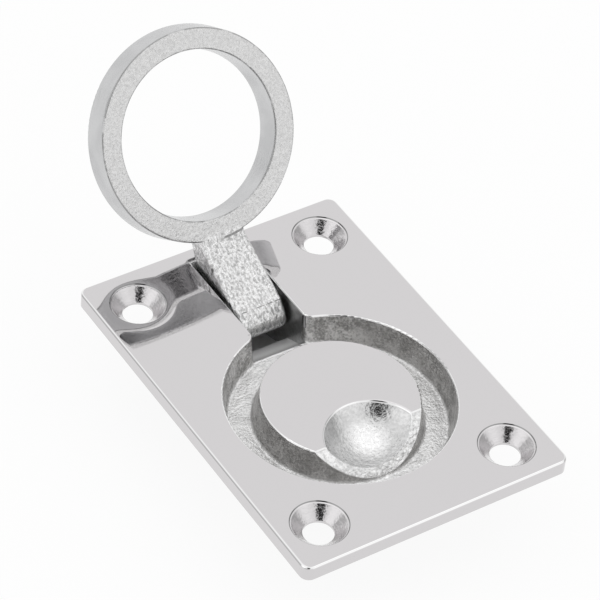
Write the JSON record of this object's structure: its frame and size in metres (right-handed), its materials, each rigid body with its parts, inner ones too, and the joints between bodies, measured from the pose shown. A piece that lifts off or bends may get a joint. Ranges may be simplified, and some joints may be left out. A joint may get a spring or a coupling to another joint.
{
  "type": "flush lift ring",
  "caption": "Flush lift ring in cast stainless steel: a screw-down plate with a round recess, finger scoop and a hinged ring that folds level with the surface.",
  "frame": {"origin": "centre of the screw pattern on the mounting face, the underside of the flange", "axes": "+X across the plate along the hinge pin, +Y from the finger scoop towards the hinge, +Z out of the mounted surface"},
  "size_m": [0.045, 0.0799, 0.0453],
  "materials": {
    "polished_steel": "mirror-polished casting with rough cast hollows",
    "tumbled_steel": "tumbled satin casting",
    "pin_steel": "ground bar"
  },
  "bodies": {
    "plate": {"flush_plate": "polished_steel", "hinge_pin": "pin_steel"},
    "ring": {"lift_ring": "tumbled_steel"}
  },
  "joints": [
    {"name": "ring_hinge", "type": "hinge", "parent": "plate", "child": "ring", "pos_m": [0, 0.02145, -0.0024], "axis": [1, 0, 0], "range_deg": [0, 121.5]}
  ]
}
